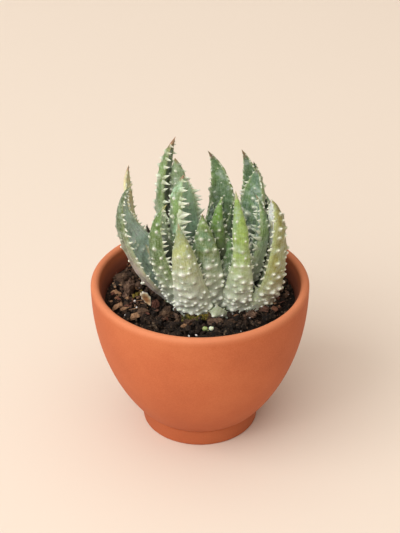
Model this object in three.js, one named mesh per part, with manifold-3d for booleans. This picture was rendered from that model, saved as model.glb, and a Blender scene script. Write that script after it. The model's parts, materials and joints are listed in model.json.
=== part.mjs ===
// A small toothed succulent in a footed terracotta bowl, filled with chunky potting soil.
// Millimetres, +Z up, origin at the middle of the foot's underside.
// Every leaf is a solid of its own: a channelled blade along a curved middle line,
// with soft teeth along its margins and rows of tubercles on its faces.
import * as THREE from "three";
import { mergeVertices } from "three/addons/utils/BufferGeometryUtils.js";
import Module from "manifold-3d";

const wasm = await Module();
wasm.setup();

// Driving sizes of the bowl
const RIM_RADIUS = 50;
const BOWL_HEIGHT = 75;
const LIP_RADIUS = 2;
const FOOT_RADIUS = 27.5;
const FOOT_HEIGHT = 8.7;
const FOOT_RING_INNER = 19;
const FOOT_RECESS = 1.5;
const JOINT_GROOVE = 0.5;
const WALL = 6.2;
const FLOOR_TOP = 14;
const BOWL_SIDES = 36;
const OUTER_HEIGHTS = [15, 23, 33, 45, 58];
const INNER_HEIGHTS = [66, 48, 32, 20];
const LIP_TURNS = [0, 45, 90, 135, 180];

// The bowl's side swells fast above the foot and stands nearly upright at the rim
const SWELL = 27.5;
const SWELL_POWER = 2.33;
const TUCK = 5;
const TUCK_POWER = 12;

// Soil
const SOIL_TOP = 68;
const SOIL_EDGE_DROP = 1.2;
const SOIL_LUMP = 0.9;
const SOIL_SIDES = 28;
const SOIL_RINGS = [38, 31, 23, 12];
const SOIL_REACH = 43.4;
const SOIL_CHIPS = 24;
const CHIP_REACH = 41;
const CHIP_SIZES = [1.6, 3.5];

// The short stem's crown, which the leaf bases clasp
const CROWN_CENTRE = [6, -3];
const CROWN_HALF_LENGTH = 23;
const CROWN_HALF_DEPTH = 13.5;
const CROWN_SIDES = 20;
const STALK_BOTTOM = 44;
const STALK_SHARE = 0.32;
const CROWN_TOP = 81;
const CROWN_PROFILE = [[0.45, 56], [0.9, 62], [1, 66], [0.93, 71], [0.72, 76.5], [0.4, 80]];

// Room left between pieces that touch
const GAP = 0.35;

// Blade section: places across the blade, from margin to margin, and around back
const OUTER_PLACES = [-1, -0.6, 0, 0.6, 1];
const INNER_PLACES = [0.6, 0, -0.6];
const OUTER_SHARE = 0.62;
const BLADE_RINGS = 9;

// Teeth and tubercles
const TOOTH_SPACING = 9;
const TOOTH_RADIUS = 0.45;
const TOOTH_FLARE = 0.14;
const TOOTH_SUNK = 1.3;
const TUBERCLE_SPACING = 17;
const TUBERCLE_ROWS = [-0.78, -0.3, 0.3, 0.78];
const TUBERCLE_SUNK = 0.9;
const INNER_SPACING = 25;
const INNER_LENGTH = 0.9;
const INNER_RADIUS = 0.7;
const SPIKE_SIDES = 3;
const SPIKE_CLEARANCE = 1.4;

// Leaves, front ones first. line: the middle line's root, two guide points and tip.
// widths: half widths at the root and a quarter, half and three quarters of the way up.
// faces: where the hollow inner face looks at root and tip, in degrees round from +X.
// curl: how far the margins turn in, in degrees. tooth: the longest tooth.
const LEAVES = {
  leaf_front_left: {
    line: [[-2, -13, 64], [-4.5, -22, 80], [-7.5, -25, 100], [-9.5, -15, 113]],
    widths: [9.6, 7.9, 6.2, 4.1], faces: [80, 82], curl: 42, thick: 5.2, tooth: 2.2, kind: "pale",
  },
  leaf_front_right: {
    line: [[14, -11, 64], [20.5, -21, 86], [18, -19.5, 108.5], [15.5, -9, 126]],
    widths: [8.4, 5.9, 3.6, 2.8], faces: [85, 85], curl: 45, thick: 4.5, tooth: 2, kind: "pale",
  },
  leaf_right_outer: {
    line: [[24.6, -7, 64], [40.6, -14.3, 76.5], [35.3, -6.2, 114.6], [31.1, -3.9, 118.6]],
    widths: [7.6, 7.9, 7.7, 4.9], faces: [142, 212], curl: 62, thick: 4.5, tooth: 2, kind: "mustard",
  },
  leaf_left_small: {
    line: [[-9, -8, 65], [-17.1, -12.6, 82], [-25.7, -14, 107], [-14.5, -9.2, 119.2]],
    widths: [8, 7.2, 5.1, 3.2], faces: [28, 28], curl: 48, thick: 4.2, tooth: 2.4, kind: "green",
  },
  leaf_left_outer: {
    line: [[-14.1, -0.3, 68], [-29.3, 0.7, 84.5], [-42.4, -4.2, 111.6], [-29.6, -2.3, 126.1]],
    widths: [5.4, 10.3, 7.1, 3.1], faces: [-17, -20], curl: 66, thick: 4.5, tooth: 3, kind: "green",
  },
  leaf_stub_right: {
    line: [[22, -9, 64], [26, -14, 68], [28, -17, 76], [24.5, -14, 80]],
    widths: [5.5, 5, 3.8, 2.4], faces: [100, 100], curl: 35, thick: 3.4, tooth: 1.4, kind: "pale",
  },
  leaf_stub_front: {
    line: [[7.6, -12, 62], [8.2, -18.5, 65], [7.8, -22, 70.6], [7.4, -20.5, 74.4]],
    widths: [5.8, 5.2, 4.2, 2.6], faces: [90, 90], curl: 35, thick: 2.8, tooth: 1.2, kind: "pale",
  },
  leaf_front_middle: {
    line: [[5.5, -12, 65], [3.2, -16.5, 84], [1.8, -16, 102.5], [1, -9, 114.5]],
    widths: [6, 6.8, 6.3, 4], faces: [90, 90], curl: 40, thick: 4.8, tooth: 2.4, kind: "green",
  },
  leaf_left_inner: {
    line: [[1, -4, 74], [-12.5, -4.8, 95], [-11, 0.5, 117.5], [-7.2, -0.2, 129]],
    widths: [6.6, 8.1, 8.6, 6.6], faces: [-29, -23], curl: 70, thick: 4.5, tooth: 4, kind: "green",
  },
  leaf_right_inner: {
    line: [[19, -4, 71], [27, -4, 88], [31.5, -4, 107], [24.6, 0, 119]],
    widths: [6, 6.5, 5.5, 3.6], faces: [170, -165], curl: 50, thick: 4.5, tooth: 3.2, kind: "green",
  },
  leaf_tall_left: {
    line: [[-6, 1, 70], [-22, 8.5, 91], [-18.1, 15, 128], [-10.7, 8, 143.5]],
    widths: [7, 8.1, 4.6, 3.4], faces: [8, -34], curl: 56, thick: 4.2, tooth: 3.4, kind: "green",
  },
  leaf_right_back: {
    line: [[18, 2, 77], [25, 10.5, 95], [25, 14.5, 113], [25.5, 9, 128]],
    widths: [6.5, 7, 6.2, 4.3], faces: [-130, -120], curl: 45, thick: 4.5, tooth: 2.8, kind: "blue",
  },
  leaf_inner_bright: {
    line: [[9.5, -5, 75], [9, -10, 92], [5, -9, 108], [10, -3, 120]],
    widths: [5, 4.8, 3.6, 2.3], faces: [80, 80], curl: 40, thick: 3.8, tooth: 2.2, kind: "green",
  },
  leaf_inner_shaded: {
    line: [[13, -9, 68], [12.5, -12.5, 82], [13, -9, 94], [11.5, -4, 103.5]],
    widths: [6, 6, 5, 3.2], faces: [85, 85], curl: 40, thick: 4, tooth: 2.6, kind: "blue",
  },
  leaf_tall_middle: {
    line: [[8, 2, 76], [10, 14, 97], [13, 18.5, 118.5], [3.5, 11, 135]],
    widths: [7, 7.4, 5.8, 3.3], faces: [-90, -97], curl: 45, thick: 4.5, tooth: 1.6, kind: "blue",
  },
  leaf_tall_right: {
    line: [[16, 4, 77], [25, 16, 96], [26.5, 20.5, 116.5], [18.5, 14, 134.2]],
    widths: [6.5, 6.5, 5, 3.1], faces: [-95, -100], curl: 45, thick: 4.5, tooth: 1.6, kind: "blue",
  },
  leaf_left_back: {
    line: [[0, 1, 74], [-12.8, 8, 94], [-8.3, 11, 122.5], [-11, 6.3, 134]],
    widths: [6, 6.5, 5.7, 4.6], faces: [1, 47], curl: 46, thick: 4, tooth: 2.4, kind: "green",
  },
  leaf_dry_left: {
    line: [[-10, 1, 68], [-29, 6.6, 83.6], [-36, 12.6, 112.1], [-31.6, 9.8, 128.6]],
    widths: [5, 5.6, 3.5, 3.2], faces: [26, -27], curl: 40, thick: 2, tooth: 1.6, kind: "dry",
  },
  leaf_back_right_tip: {
    line: [[19, 8, 68], [26, 19, 92], [28, 23, 114], [24, 17, 126.5]],
    widths: [6, 5.6, 4.6, 2.6], faces: [-110, -105], curl: 42, thick: 3.8, tooth: 2, kind: "blue",
  },
  leaf_back_right: {
    line: [[24, 2, 66], [33, 9, 84], [34, 17, 103], [28, 13, 114]],
    widths: [6, 6, 4.8, 2.8], faces: [-155, -150], curl: 45, thick: 4, tooth: 2.2, kind: "blue",
  },
  leaf_back_left: {
    line: [[-5, 8, 67], [-14, 21, 88], [-15, 24, 109], [-12.5, 18, 121]],
    widths: [6, 6, 4.8, 3], faces: [-60, -65], curl: 42, thick: 4.2, tooth: 2.4, kind: "blue",
  },
  leaf_back_middle: {
    line: [[7, 9, 67], [11, 22, 86], [13, 26, 104], [11, 21, 115.5]],
    widths: [6.5, 6.5, 4.8, 3], faces: [-90, -90], curl: 42, thick: 4.2, tooth: 2.4, kind: "blue",
  },
  leaf_dry_stub: {
    line: [[-9, 4, 66], [-20, 10, 80], [-25.5, 12, 91], [-24, 10, 98]],
    widths: [4, 4, 3.2, 2], faces: [-20, -30], curl: 35, thick: 1.8, tooth: 1.2, kind: "dry",
  },
  leaf_heart_left: {
    line: [[5, 0, 78], [6, 2, 90], [4, 2, 104], [5.5, 3, 114]],
    widths: [4.5, 4.5, 3.8, 2.4], faces: [-75, -75], curl: 45, thick: 3, tooth: 1.8, kind: "blue",
  },
  leaf_heart_right: {
    line: [[12, 0, 78], [15, 3, 90], [16, 4, 103], [14.5, 4, 113]],
    widths: [4.5, 4.5, 3.8, 2.4], faces: [-100, -100], curl: 45, thick: 3, tooth: 1.8, kind: "blue",
  },
};

// Small loose things that lie on the soil
const FLAKE_PLACE = [-24.5, -11.5];
const FLAKE_SIZE = [8, 3.6, 0.9];
const FLAKE_ROLL = 80;
const FLAKE_LEAN = 62;
const FLAKE_TURN = 190;
const FLAKE_BEND = 1.2;
const FLAKE_LIFT = 0.8;
const SPROUT_PLACE = [2.2, -31.5];
const SPROUT_HEIGHT = 4.5;

const COLOURS = {
  terracotta: 0xc86c42,
  soil: 0x2e211b,
  stem: 0x8a8f6a,
  pale: 0xa9b47a,
  mustard: 0xaeaa5c,
  green: 0x6f9460,
  blue: 0x4f7a62,
  dry: 0xa98f6c,
  straw: 0xd8b078,
  sprout: 0xb9cf8e,
};

function material(name, roughness = 0.6) {
  return new THREE.MeshStandardMaterial({ color: COLOURS[name], roughness, metalness: 0 });
}

// A closed geometry as a solid that can be joined and cut
function solidOf(geometry) {
  const bare = geometry.clone();
  bare.deleteAttribute("normal");
  bare.deleteAttribute("uv");
  const merged = mergeVertices(bare, 1e-4);
  return new wasm.Manifold(new wasm.Mesh({
    numProp: 3,
    vertProperties: merged.attributes.position.array,
    triVerts: new Uint32Array(merged.index.array),
  }));
}

// The largest body of a solid, which leaves out scraps that a cut has freed
function largest(solid) {
  const bodies = solid.decompose();
  bodies.sort((a, b) => b.volume() - a.volume());
  return bodies[0];
}

function meshOf(solid, name, meshMaterial) {
  const found = solid.getMesh();
  const geometry = new THREE.BufferGeometry();
  geometry.setAttribute("position", new THREE.BufferAttribute(found.vertProperties, found.numProp));
  geometry.setIndex(new THREE.BufferAttribute(found.triVerts, 1));
  geometry.computeVertexNormals();
  const mesh = new THREE.Mesh(geometry, meshMaterial);
  mesh.name = name;
  return mesh;
}

// A closed surface from rings of points, each ring the same length, with flat or pointed ends
function loft(rings, apex) {
  const across = rings[0].length;
  const points = rings.flat();
  const faces = [];
  for (let i = 0; i + 1 < rings.length; i++) {
    for (let j = 0; j < across; j++) {
      const a = i * across + j;
      const b = i * across + ((j + 1) % across);
      faces.push(a, a + across, b, b, a + across, b + across);
    }
  }
  const middle = new THREE.Vector3();
  rings[0].forEach((p) => middle.addScaledVector(p, 1 / across));
  points.push(middle, apex);
  const last = (rings.length - 1) * across;
  for (let j = 0; j < across; j++) {
    const next = (j + 1) % across;
    faces.push(points.length - 2, j, next);
    faces.push(points.length - 1, last + next, last + j);
  }
  const geometry = new THREE.BufferGeometry().setFromPoints(points);
  geometry.setIndex(faces);
  return geometry;
}

// Bowl
function bowlRadius(z) {
  const down = 1 - z / BOWL_HEIGHT;
  return RIM_RADIUS - SWELL * down ** SWELL_POWER - TUCK * down ** TUCK_POWER;
}

function innerRadius(z) {
  const lipCentre = BOWL_HEIGHT - LIP_RADIUS;
  const below = THREE.MathUtils.smoothstep(lipCentre - z, 0, 8);
  return bowlRadius(z) - 2 * LIP_RADIUS - (WALL - 2 * LIP_RADIUS) * below;
}

function makeBowl() {
  const lipCentre = BOWL_HEIGHT - LIP_RADIUS;
  const profile = [
    [0, FOOT_RECESS],
    [FOOT_RING_INNER - FOOT_RECESS, FOOT_RECESS],
    [FOOT_RING_INNER, 0],
    [FOOT_RADIUS - 1.1, 0],
    [FOOT_RADIUS - 0.5, 0.6],
    [FOOT_RADIUS, FOOT_HEIGHT - 0.8],
    [FOOT_RADIUS - JOINT_GROOVE, FOOT_HEIGHT],
  ];
  for (const z of [FOOT_HEIGHT + 0.9, ...OUTER_HEIGHTS]) profile.push([bowlRadius(z), z]);
  for (const turn of LIP_TURNS) {
    const angle = THREE.MathUtils.degToRad(turn);
    profile.push([
      bowlRadius(lipCentre) - LIP_RADIUS + LIP_RADIUS * Math.cos(angle),
      lipCentre + LIP_RADIUS * Math.sin(angle),
    ]);
  }
  for (const z of INNER_HEIGHTS) profile.push([innerRadius(z), z]);
  profile.push([innerRadius(INNER_HEIGHTS.at(-1)) - 8, FLOOR_TOP], [0, FLOOR_TOP]);
  const points = profile.map(([r, z]) => new THREE.Vector2(r, z));
  const geometry = new THREE.LatheGeometry(points, BOWL_SIDES).rotateX(Math.PI / 2);
  return solidOf(geometry);
}

// The crown of the stem, an oval mound on a stalk that stands in a plain hole in the soil
function makeCrown(swell) {
  const bottom = STALK_BOTTOM - swell;
  const profile = [[0, bottom], [STALK_SHARE, bottom], ...CROWN_PROFILE, [0, CROWN_TOP + swell]];
  const points = profile.map(([share, z]) => new THREE.Vector2(share, z));
  const geometry = new THREE.LatheGeometry(points, CROWN_SIDES).rotateX(Math.PI / 2);
  geometry.scale(CROWN_HALF_LENGTH + swell, CROWN_HALF_DEPTH + swell, 1);
  geometry.translate(CROWN_CENTRE[0], CROWN_CENTRE[1], 0);
  return solidOf(geometry);
}

// Half the blade's width at t, smooth through the leaf's widths and nothing at the tip
function halfWidth(leaf, t) {
  const stops = [...leaf.widths, 0];
  const place = Math.min(Math.max(t, 0), 1) * 4;
  const i = Math.min(Math.floor(place), 3);
  const f = place - i;
  const before = i === 0 ? 2 * stops[0] - stops[1] : stops[i - 1];
  const after = i === 3 ? -0.9 * stops[3] : stops[i + 2];
  const slopeIn = (stops[i + 1] - before) / 2;
  const slopeOut = (after - stops[i]) / 2;
  const rise = stops[i + 1] - stops[i];
  const square = 3 * rise - 2 * slopeIn - slopeOut;
  const cube = slopeIn + slopeOut - 2 * rise;
  return stops[i] + f * (slopeIn + f * (square + f * cube));
}

function middleLine(leaf) {
  return new THREE.CubicBezierCurve3(...leaf.line.map((p) => new THREE.Vector3(...p)));
}

// The middle line's point at t, with its direction, the way to the inner face and the way across
function stationAt(leaf, t) {
  const curve = middleLine(leaf);
  const along = curve.getTangent(t);
  const [rootWay, tipWay] = leaf.faces;
  const turn = THREE.MathUtils.euclideanModulo(tipWay - rootWay + 180, 360) - 180;
  const angle = THREE.MathUtils.degToRad(rootWay + turn * t);
  const inward = new THREE.Vector3(Math.cos(angle), Math.sin(angle), 0);
  inward.addScaledVector(along, -inward.dot(along)).normalize();
  const across = new THREE.Vector3().crossVectors(along, inward);
  return { point: curve.getPoint(t), along, inward, across };
}

// A point of the blade's skin, and the way out of the skin there.
// place runs from -1 at one margin to 1 at the other; side is -1 outside and 1 inside.
function skinAt(leaf, t, place, side, swell = 0) {
  const { point, along, inward, across } = stationAt(leaf, t);
  const width = halfWidth(leaf, t);
  const thick = Math.min(leaf.thick, 0.9 * width + 0.15);
  const curl = THREE.MathUtils.degToRad(leaf.curl);
  const radius = (width + swell) / Math.sin(curl);
  const angle = curl * place;
  const share = side < 0 ? OUTER_SHARE : 1 - OUTER_SHARE;
  const bulge = 1 - place * place;
  const lift = side * (share * thick * Math.sqrt(bulge) + swell * bulge ** 0.15);
  const out = across.clone().multiplyScalar(-Math.sin(angle) * side);
  out.addScaledVector(inward, Math.cos(angle) * side);
  const skin = point.clone().addScaledVector(across, radius * Math.sin(angle));
  skin.addScaledVector(inward, radius * (1 - Math.cos(angle)));
  skin.addScaledVector(out, lift * side);
  return { skin, out, along, across, inward, angle };
}

function makeBlade(leaf, swell = 0) {
  const rings = [];
  for (let i = 0; i < BLADE_RINGS; i++) {
    const t = i / BLADE_RINGS;
    const ring = OUTER_PLACES.map((place) => skinAt(leaf, t, place, -1, swell).skin);
    INNER_PLACES.forEach((place) => ring.push(skinAt(leaf, t, place, 1, swell).skin));
    rings.push(ring);
  }
  const tip = stationAt(leaf, 1);
  const apex = tip.point.addScaledVector(tip.along, 2 * swell);
  return solidOf(loft(rings, apex));
}

// A slim three-sided spike whose root is sunk below the skin
function spike(foot, way, length, radius, sunk) {
  const cone = new THREE.ConeGeometry(radius, length + sunk, SPIKE_SIDES);
  cone.translate(0, (length - sunk) / 2, 0);
  const up = new THREE.Vector3(0, 1, 0);
  cone.applyQuaternion(new THREE.Quaternion().setFromUnitVectors(up, way));
  cone.translate(foot.x, foot.y, foot.z);
  const tip = foot.clone().addScaledVector(way, length);
  return { solid: solidOf(cone), foot, tip };
}

// Teeth are longest halfway up the leaf and small near both ends
function toothLength(leaf, t) {
  const rise = THREE.MathUtils.smoothstep(t, 0.02, 0.45);
  const fall = 1 - 0.62 * THREE.MathUtils.smoothstep(t, 0.6, 1);
  return leaf.tooth * (0.45 + 0.55 * rise) * fall;
}

function makeSpikes(leaf, random) {
  const spikes = [];
  const length = middleLine(leaf).getLength();
  const teeth = Math.max(3, Math.round(length / TOOTH_SPACING));
  for (const margin of [-1, 1]) {
    for (let i = 0; i < teeth; i++) {
      const t = 0.1 + (0.86 * (i + (margin < 0 ? 0.25 : 0.6) + 0.2 * random())) / teeth;
      const { skin, along, across, inward, angle } = skinAt(leaf, t, margin, -1);
      const way = across.clone().multiplyScalar(Math.cos(angle) * margin);
      way.addScaledVector(inward, Math.abs(Math.sin(angle))).addScaledVector(along, 0.15).normalize();
      const long = toothLength(leaf, t);
      spikes.push(spike(skin, way, long, TOOTH_RADIUS + TOOTH_FLARE * long, TOOTH_SUNK));
    }
  }
  const knobs = Math.max(2, Math.round(length / TUBERCLE_SPACING));
  for (const row of TUBERCLE_ROWS) {
    for (let i = 0; i < knobs; i++) {
      const t = 0.08 + (0.84 * (i + (Math.abs(row) < 0.5 ? 0.1 : 0.6) + 0.25 * random())) / knobs;
      const { skin, out, along } = skinAt(leaf, t, row, -1);
      const way = out.clone().addScaledVector(along, 0.25).normalize();
      spikes.push(spike(skin, way, 1.25 - 0.45 * t, 0.95 - 0.3 * t, TUBERCLE_SUNK));
    }
  }
  const few = Math.max(1, Math.round(length / INNER_SPACING));
  for (let i = 0; i < few; i++) {
    const t = 0.35 + (0.5 * (i + random() * 0.4)) / few;
    const { skin, out } = skinAt(leaf, t, 0.5 * (random() - 0.5), 1);
    spikes.push(spike(skin, out, INNER_LENGTH, INNER_RADIUS, TUBERCLE_SUNK));
  }
  return spikes;
}

// Soil, lumpy on top, with chips of bark fused to it
function soilHeight(x, y) {
  const edge = THREE.MathUtils.smoothstep(Math.hypot(x, y), 36, 44);
  const wave = Math.sin(0.31 * x + 1.3) * Math.cos(0.27 * y + 0.4) + 0.5 * Math.sin(0.7 * x - 0.55 * y);
  return SOIL_TOP + SOIL_LUMP * wave - SOIL_EDGE_DROP * edge;
}

function makeSoil(random) {
  const ringAt = (radius, height) => {
    const ring = [];
    for (let i = 0; i < SOIL_SIDES; i++) {
      const angle = (2 * Math.PI * i) / SOIL_SIDES;
      const x = radius * Math.cos(angle);
      const y = radius * Math.sin(angle);
      ring.push(new THREE.Vector3(x, y, height ?? soilHeight(x, y)));
    }
    return ring.reverse();
  };
  const rings = [ringAt(innerRadius(20) - 9, FLOOR_TOP + GAP)];
  for (const z of [21, 40]) rings.push(ringAt(innerRadius(z) - 2 * GAP, z));
  for (const radius of [innerRadius(64) - 2 * GAP, ...SOIL_RINGS]) rings.push(ringAt(radius));
  let soil = solidOf(loft(rings, new THREE.Vector3(0, 0, soilHeight(0, 0))));
  const chips = [];
  for (let i = 0; i < SOIL_CHIPS; i++) {
    const radius = CHIP_REACH * Math.sqrt((i + 0.5) / SOIL_CHIPS);
    const angle = 2.4 * i + 0.5 * random();
    const x = radius * Math.cos(angle);
    const y = radius * Math.sin(angle);
    const size = THREE.MathUtils.lerp(...CHIP_SIZES, random());
    const chip = new THREE.OctahedronGeometry(size);
    chip.scale(1, 0.55 + 0.4 * random(), 0.5);
    chip.rotateX(0.8 * (random() - 0.5));
    chip.rotateZ(2 * Math.PI * random());
    chip.translate(x, y, soilHeight(x, y) + 0.25 * size);
    chips.push(solidOf(chip));
  }
  soil = wasm.Manifold.union([soil, ...chips]);
  const insideWall = wasm.Manifold.cylinder(2 * BOWL_HEIGHT, SOIL_REACH, SOIL_REACH, BOWL_SIDES);
  return soil.intersect(insideWall);
}

// A scrap of dry leaf that leans on end, its foot sunk in the soil
function makeFlake(swell) {
  const [length, width, thick] = FLAKE_SIZE;
  const [x, y] = FLAKE_PLACE;
  const rings = [];
  for (let i = 0; i <= 5; i++) {
    const along = i / 6;
    const half = (width / 2) * Math.sin(Math.PI * (0.12 + 0.8 * along)) + swell;
    const rise = FLAKE_BEND * Math.sin(Math.PI * along);
    rings.push([
      new THREE.Vector3(length * (along - 0.5), -half, rise + 0.8),
      new THREE.Vector3(length * (along - 0.5), 0, rise + thick / 2 + swell),
      new THREE.Vector3(length * (along - 0.5), half, rise + 0.8),
      new THREE.Vector3(length * (along - 0.5), 0, rise - thick / 2 - swell),
    ]);
  }
  const geometry = loft(rings, new THREE.Vector3(length / 2 + swell, 0, 0.3));
  geometry.rotateX(THREE.MathUtils.degToRad(FLAKE_ROLL));
  geometry.rotateY(-THREE.MathUtils.degToRad(FLAKE_LEAN));
  geometry.rotateZ(THREE.MathUtils.degToRad(FLAKE_TURN));
  geometry.translate(x, y, soilHeight(x, y) + 0.3 * length + FLAKE_LIFT);
  return solidOf(geometry);
}

// A seedling no taller than a grain of rice
function makeSprout(swell) {
  const [x, y] = SPROUT_PLACE;
  const stalk = new THREE.CylinderGeometry(0.4 + swell, 0.9 + swell, SPROUT_HEIGHT + 2 * swell, 6);
  stalk.rotateX(Math.PI / 2).translate(0, 0, SPROUT_HEIGHT / 2);
  const lobe = new THREE.OctahedronGeometry(1.5 + 1.5 * swell);
  lobe.scale(1, 0.5, 1.2);
  lobe.translate(0.7, 0, SPROUT_HEIGHT - 1);
  return solidOf(stalk).add(solidOf(lobe)).translate([x, y, soilHeight(x, y) - 1.5]);
}

// Assembly
const names = Object.keys(LEAVES);
const crown = makeCrown(0);
const crownRoom = makeCrown(GAP);
const rooms = new Map();
for (const name of names) rooms.set(name, makeBlade(LEAVES[name], GAP));
const bowl = makeBowl();

// Each blade gives way to the crown and to the blades in front of it
const blades = new Map();
names.forEach((name, i) => {
  let blade = makeBlade(LEAVES[name]).subtract(crownRoom);
  for (const front of names.slice(0, i)) blade = blade.subtract(rooms.get(front));
  blades.set(name, largest(blade));
});

// The soil leaves holes for the crown and for the leaf bases that reach into it
THREE.MathUtils.seededRandom(7);
const random = () => THREE.MathUtils.seededRandom();
let soil = makeSoil(random).subtract(crownRoom);
for (const name of names) soil = soil.subtract(rooms.get(name));
soil = largest(soil.subtract(makeFlake(GAP)).subtract(makeSprout(GAP)));
const flake = makeFlake(0);
const sprout = makeSprout(0);

// A spike is left out where it would reach another piece
function reaches(one, other) {
  return one.intersect(other).volume() > 1e-6;
}

function near(a, b) {
  for (let i = 0; i <= 4; i++) {
    const p = a.foot.clone().lerp(a.tip, i / 4);
    for (let j = 0; j <= 4; j++) {
      if (p.distanceTo(b.foot.clone().lerp(b.tip, j / 4)) < SPIKE_CLEARANCE) return true;
    }
  }
  return false;
}

const placed = [];
const plant = new THREE.Group();
for (const name of names) {
  const leaf = LEAVES[name];
  const others = names.filter((other) => other !== name).map((other) => rooms.get(other));
  others.push(soil, crownRoom, bowl, flake, sprout);
  const kept = makeSpikes(leaf, random).filter(
    (one) => !placed.some((other) => other.leaf !== name && near(one, other))
      && !others.some((other) => reaches(one.solid, other)),
  );
  kept.forEach((one) => placed.push({ ...one, leaf: name }));
  const solid = wasm.Manifold.union([blades.get(name), ...kept.map((one) => one.solid)]);
  plant.add(meshOf(largest(solid), name, material(leaf.kind)));
}

const part = new THREE.Group();
part.add(meshOf(bowl, "pot", material("terracotta", 0.8)));
part.add(meshOf(soil, "soil", material("soil", 0.95)));
part.add(meshOf(crown, "stem", material("stem", 0.7)));
part.add(plant);
part.add(meshOf(flake, "dry_flake", material("straw", 0.8)));
part.add(meshOf(sprout, "sprout", material("sprout", 0.6)));

export default part;
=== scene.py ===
import json
import math

import bmesh
import bpy
import numpy as np
from mathutils import Euler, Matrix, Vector


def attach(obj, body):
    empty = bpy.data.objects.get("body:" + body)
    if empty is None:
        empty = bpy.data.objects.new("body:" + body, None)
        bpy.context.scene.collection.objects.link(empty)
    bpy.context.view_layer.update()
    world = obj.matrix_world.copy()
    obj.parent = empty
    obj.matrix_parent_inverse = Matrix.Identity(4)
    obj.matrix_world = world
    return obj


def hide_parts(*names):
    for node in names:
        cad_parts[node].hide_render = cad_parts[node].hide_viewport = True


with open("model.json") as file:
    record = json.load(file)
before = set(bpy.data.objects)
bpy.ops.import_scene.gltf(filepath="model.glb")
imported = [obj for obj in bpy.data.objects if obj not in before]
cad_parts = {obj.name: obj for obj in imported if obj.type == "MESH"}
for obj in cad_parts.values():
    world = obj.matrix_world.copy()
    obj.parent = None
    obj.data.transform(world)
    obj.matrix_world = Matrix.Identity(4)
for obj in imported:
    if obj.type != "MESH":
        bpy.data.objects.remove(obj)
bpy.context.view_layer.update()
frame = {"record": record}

MM = 0.001
rng = np.random.default_rng(11)

# Bowl
RIM_RADIUS = 50
BOWL_HEIGHT = 75
LIP_RADIUS = 2
FOOT_RADIUS = 27.5
FOOT_HEIGHT = 8.7
FOOT_RING_INNER = 19
FOOT_RECESS = 1.5
FOOT_CORNER = 0.9
JOINT_GROOVE = 0.5
WALL = 6.2
FLOOR_TOP = 14
BOWL_SIDES = 192
WOBBLE = 0.0006
SWELL = 27.5
SWELL_POWER = 2.33
TUCK = 5
TUCK_POWER = 12

# Soil and crown
SOIL_TOP = 68
SOIL_EDGE_DROP = 1.2
SOIL_LUMP = 0.9
SOIL_RADIUS = 43.6
SOIL_BED_DROP = 2
SOIL_SIDES = 168
FLAKE_PLACE = (-24.5, -11.5)
FLAKE_SIZE = (8, 3.6, 0.9)
FLAKE_ROLL = 80
FLAKE_LEAN = 62
FLAKE_TURN = 190
FLAKE_BEND = 1.2
FLAKE_LIFT = 0.8
SPROUT_PLACE = (2.2, -31.5)
SPROUT_LOBES = [
    ((0, 0, 1), (1.25, 1, 1.1), 0.1),
    ((2.8, -0.3, 1.3), (1.15, 1, 1.1), 0.95),
    ((1.4, 0, 0.2), (1.6, 0.4, 0.4), 0.2),
]
CROWN_CENTRE = (6, -3)
CROWN_HALF_LENGTH = 23
CROWN_HALF_DEPTH = 13.5
CROWN_SIDES = 96
CROWN_PROFILE = [(0.32, 44), (0.36, 50), (0.5, 56), (0.86, 61.5), (0.99, 65), (1, 67), (0.93, 71),
                 (0.82, 74.3), (0.7, 76.8), (0.5, 79.2), (0.28, 80.4), (0.02, 81)]

# Camera: where it looks, how far it stands, how steeply it looks down
LOOK_AT = (0, 0, 0.08164)
CAMERA_DISTANCE = 0.7
CAMERA_TILT = 31.74
LENS = 103.98
SENSOR = 36

# Light: place and size in metres, power in watts, colour; each one faces the point LIT
LIT = (0, 0, 0.06)
WORLD_COLOUR = (1, 0.87, 0.75)
WORLD_STRENGTH = 0.28
FLOOR_SIZE = 4
FLOOR_COLOURS = ((236, 221, 205), (238, 223, 207))
LIGHTS = dict(
    left_window=((-2, -1, 2), 2.4, 38, (0.95, 0.98, 1)),
    front_window=((-1, -2.2, 1.8), 2.2, 31, (0.95, 0.98, 1)),
    ceiling=((-0.5, -0.2, 3.2), 7, 103, (1, 0.965, 0.925)),
)

# Leaf blades. Pairs run from the root to the upper leaf.
SKIN_STEP = 0.5
OUTER_SHARE = 0.62
ROW_SPACING = (2.45, 4.2)
TUBERCLE_STEP = (2.25, 2.6)
TUBERCLE_RADIUS = (1.3, 0.84)
TUBERCLE_MISSING = 0.08
INNER_FACE_BUMPS = (0.35, 0.55)
INNER_FACE_SIZE = 0.85
MOUND = 0.54
RIDGE = 0.42
MARGIN_WAVES = (0.14, 0.08)
SKIN_RIPPLE = 0.13
TOOTH_WANDER = 0.24

# Tubercle and tooth. profile pairs a share of the radius with a share of the length; oval is
# the width along the leaf and across it, cream how creamy root and tip are.
KNOB = dict(
    profile=[(1.12, -0.5), (1.06, 0), (0.97, 0.34), (0.72, 0.7), (0.36, 0.93), (0.05, 1)],
    sides=7, oval=(0.98, 1.22), bend=0.15, cream=(0.5, 1))
TOOTH = dict(
    profile=[(1.5, -0.3), (1, 0.03), (0.7, 0.3), (0.42, 0.6), (0.18, 0.87), (0.02, 1)],
    sides=8, oval=(1.3, 0.7), bend=0.14, cream=(0.3, 1.1))

# What a leaf has where its own row in LEAVES doesn't say otherwise
USUAL = dict(knob=1, stud=1, fold=8, apart=3.3, frost=0.62, tip=0.93, shade=0.35, dim=1,
             lit=(0.12, 0.5), curl=45, thick=4.5, tint="meadow")

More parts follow.
